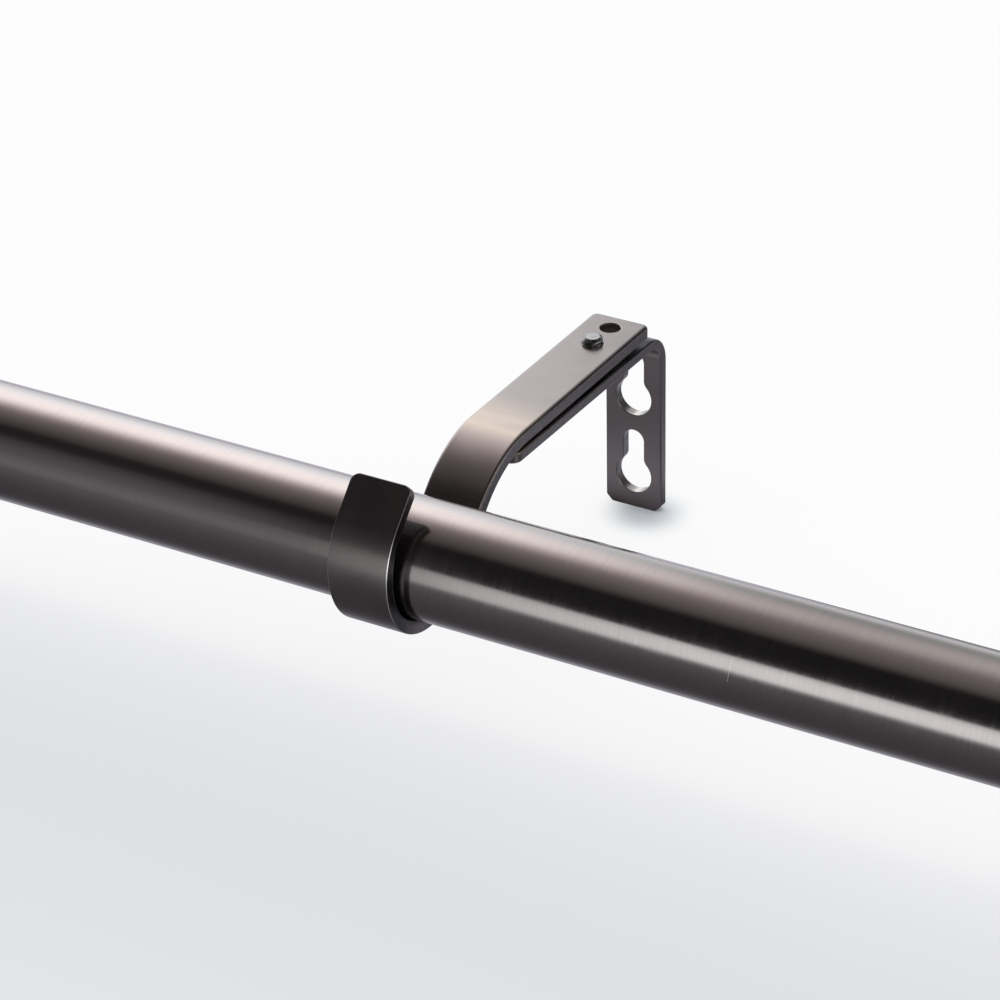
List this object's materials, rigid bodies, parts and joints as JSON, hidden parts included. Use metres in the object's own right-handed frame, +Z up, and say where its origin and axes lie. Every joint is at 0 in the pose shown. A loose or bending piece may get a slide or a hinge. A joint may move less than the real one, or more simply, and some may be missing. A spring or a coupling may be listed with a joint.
{
  "type": "drapery rod",
  "caption": "Telescoping drapery rod with plain end caps, resting in adjustable J-hook wall brackets that hang on keyhole plates.",
  "frame": {"origin": "on the wall plane, at the centre of the left bracket's two keyholes", "axes": "+X along the rod from the left bracket to the right one, +Y into the wall, +Z up"},
  "size_m": [0.4856, 0.1212, 0.0607],
  "materials": {
    "rod_tube": "brushed gunmetal plating, fine grain round the tube",
    "bracket_strap": "satin gunmetal plating, a little darker than the tube",
    "screw_steel": "blackened steel, its thread crests slightly bright",
    "cap_metal": "turned and plated in the rod's gunmetal",
    "guide_plastic": "black moulded nylon"
  },
  "bodies": {
    "root": {"left_wall_bracket": "bracket_strap", "right_wall_bracket": "bracket_strap"},
    "carriage": {"left_hook_arm": "bracket_strap", "right_hook_arm": "bracket_strap", "left_clamp_screw": "screw_steel", "right_clamp_screw": "screw_steel", "left_washer": "screw_steel", "right_washer": "screw_steel", "outer_tube": "rod_tube", "mouth_bush": "guide_plastic", "left_plug": "guide_plastic", "left_end_cap": "cap_metal"},
    "inner_rod": {"inner_tube": "rod_tube", "inner_guide": "guide_plastic", "right_plug": "guide_plastic", "right_end_cap": "cap_metal"}
  },
  "joints": [
    {"name": "projection_slide", "type": "slide", "parent": "root", "child": "carriage", "axis": [0, -1, 0], "range_m": [0, 0.025]},
    {"name": "extension_slide", "type": "slide", "parent": "carriage", "child": "inner_rod", "axis": [1, 0, 0], "range_m": [0, 0.254]}
  ]
}
